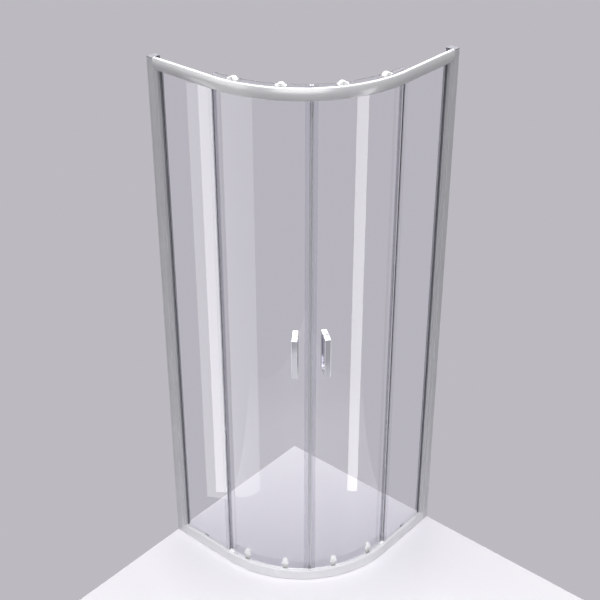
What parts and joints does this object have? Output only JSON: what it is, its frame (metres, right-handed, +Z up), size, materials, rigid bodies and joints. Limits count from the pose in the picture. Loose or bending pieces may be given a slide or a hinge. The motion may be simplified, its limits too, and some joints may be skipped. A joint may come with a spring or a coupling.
{
  "type": "quadrant shower enclosure",
  "caption": "Quadrant shower enclosure with a curved entrance: two curved glass doors roll apart along a round white frame, between two flat fixed glass panels.",
  "frame": {"origin": "centre of the square footprint, on the plane that stands on the shower tray", "axes": "+Z up; one wall faces the plane x = -0.35 m, the other the plane y = 0.35 m, and the round entrance faces +X and -Y"},
  "size_m": [0.7, 0.7, 1.9604],
  "materials": {
    "white_coated_frame": "glossy white powder coat on extruded aluminium",
    "grey_end_cap": "satin",
    "clear_glass": "clear toughened glass with a faint green edge",
    "grey_rubber": "matt grey gasket",
    "clear_seal": "clear soft extrusion",
    "magnet": "pale flexible magnet strip",
    "white_plastic": "moulded",
    "nylon_wheel": "moulded",
    "chrome_handle": "polished",
    "clear_washer": "clear washer",
    "stainless_steel": "satin"
  },
  "bodies": {
    "frame": {"top_rail": "white_coated_frame", "bottom_rail": "white_coated_frame", "wall_profile_right": "white_coated_frame", "wall_profile_left": "white_coated_frame", "top_cap_right": "grey_end_cap", "top_cap_left": "grey_end_cap", "frame_post_right": "white_coated_frame", "frame_post_left": "white_coated_frame", "rail_screws": "stainless_steel", "adjust_screws": "stainless_steel", "screw_caps": "white_plastic", "fixed_glass_right": "clear_glass", "fixed_glass_left": "clear_glass", "post_gasket_right": "grey_rubber", "post_gasket_left": "grey_rubber", "rail_gaskets": "grey_rubber", "edge_seal_right": "grey_rubber", "edge_seal_left": "grey_rubber", "glass_clips": "white_plastic", "door_stops": "grey_rubber"},
    "right_door": {"door_glass_right": "clear_glass", "magnet_carrier_right": "clear_seal", "magnet_strip_right": "magnet", "rear_seal_right": "clear_seal", "handle_outer_right": "chrome_handle", "handle_inner_right": "chrome_handle", "handle_studs_right": "stainless_steel", "handle_washers_right": "clear_washer", "top_roller_housings_right": "white_plastic", "top_clamp_bolts_right": "stainless_steel", "top_clamp_caps_right": "white_plastic", "bottom_roller_carriers_right": "white_plastic", "release_buttons_right": "white_plastic", "bottom_clamp_bolts_right": "stainless_steel", "roller_axles_right": "stainless_steel"},
    "left_door": {"door_glass_left": "clear_glass", "magnet_carrier_left": "clear_seal", "magnet_strip_left": "magnet", "rear_seal_left": "clear_seal", "handle_outer_left": "chrome_handle", "handle_inner_left": "chrome_handle", "handle_studs_left": "stainless_steel", "handle_washers_left": "clear_washer", "top_roller_housings_left": "white_plastic", "top_clamp_bolts_left": "stainless_steel", "top_clamp_caps_left": "white_plastic", "bottom_roller_carriers_left": "white_plastic", "release_buttons_left": "white_plastic", "bottom_clamp_bolts_left": "stainless_steel", "roller_axles_left": "stainless_steel"},
    "top_wheel_right_1": {"top_wheel_right_1": "nylon_wheel"},
    "top_wheel_right_2": {"top_wheel_right_2": "nylon_wheel"},
    "bottom_wheel_right_1": {"bottom_wheel_right_1": "nylon_wheel"},
    "bottom_wheel_right_2": {"bottom_wheel_right_2": "nylon_wheel"},
    "top_wheel_left_1": {"top_wheel_left_1": "nylon_wheel"},
    "top_wheel_left_2": {"top_wheel_left_2": "nylon_wheel"},
    "bottom_wheel_left_1": {"bottom_wheel_left_1": "nylon_wheel"},
    "bottom_wheel_left_2": {"bottom_wheel_left_2": "nylon_wheel"}
  },
  "joints": [
    {"name": "right_door_travel", "type": "hinge", "parent": "frame", "child": "right_door", "pos_m": [-0.192, 0.1065, 0], "axis": [0, 0, 1], "range_deg": [0, 20.8]},
    {"name": "left_door_travel", "type": "hinge", "parent": "frame", "child": "left_door", "pos_m": [-0.1065, 0.192, 0], "axis": [0, 0, -1], "range_deg": [0, 20.8]},
    {"name": "top_wheel_right_1_spin", "type": "hinge", "parent": "right_door", "child": "top_wheel_right_1", "pos_m": [0.26788, -0.13713, 1.9468], "axis": [0.8504, -0.5261, 0], "continuous": true},
    {"name": "top_wheel_right_2_spin", "type": "hinge", "parent": "right_door", "child": "top_wheel_right_2", "pos_m": [0.32249, 0.00741, 1.9468], "axis": [0.9858, -0.1676, 0], "continuous": true},
    {"name": "bottom_wheel_right_1_spin", "type": "hinge", "parent": "right_door", "child": "bottom_wheel_right_1", "pos_m": [0.26304, -0.13413, 0.0273], "axis": [0.8504, -0.5261, 0], "continuous": true},
    {"name": "bottom_wheel_right_2_spin", "type": "hinge", "parent": "right_door", "child": "bottom_wheel_right_2", "pos_m": [0.31688, 0.00836, 0.0273], "axis": [0.9858, -0.1676, 0], "continuous": true},
    {"name": "top_wheel_left_1_spin", "type": "hinge", "parent": "left_door", "child": "top_wheel_left_1", "pos_m": [0.13713, -0.26788, 1.9468], "axis": [0.5261, -0.8504, 0], "continuous": true},
    {"name": "top_wheel_left_2_spin", "type": "hinge", "parent": "left_door", "child": "top_wheel_left_2", "pos_m": [-0.00741, -0.32249, 1.9468], "axis": [0.1676, -0.9858, 0], "continuous": true},
    {"name": "bottom_wheel_left_1_spin", "type": "hinge", "parent": "left_door", "child": "bottom_wheel_left_1", "pos_m": [0.13413, -0.26304, 0.0273], "axis": [0.5261, -0.8504, 0], "continuous": true},
    {"name": "bottom_wheel_left_2_spin", "type": "hinge", "parent": "left_door", "child": "bottom_wheel_left_2", "pos_m": [-0.00836, -0.31688, 0.0273], "axis": [0.1676, -0.9858, 0], "continuous": true}
  ],
  "couplings": [
    {"joint": "top_wheel_right_1_spin", "follows": "right_door_travel", "ratio": -46.164},
    {"joint": "top_wheel_right_2_spin", "follows": "right_door_travel", "ratio": -46.164},
    {"joint": "bottom_wheel_right_1_spin", "follows": "right_door_travel", "ratio": -56.422},
    {"joint": "bottom_wheel_right_2_spin", "follows": "right_door_travel", "ratio": -56.422},
    {"joint": "top_wheel_left_1_spin", "follows": "left_door_travel", "ratio": 46.164},
    {"joint": "top_wheel_left_2_spin", "follows": "left_door_travel", "ratio": 46.164},
    {"joint": "bottom_wheel_left_1_spin", "follows": "left_door_travel", "ratio": 56.422},
    {"joint": "bottom_wheel_left_2_spin", "follows": "left_door_travel", "ratio": 56.422}
  ]
}
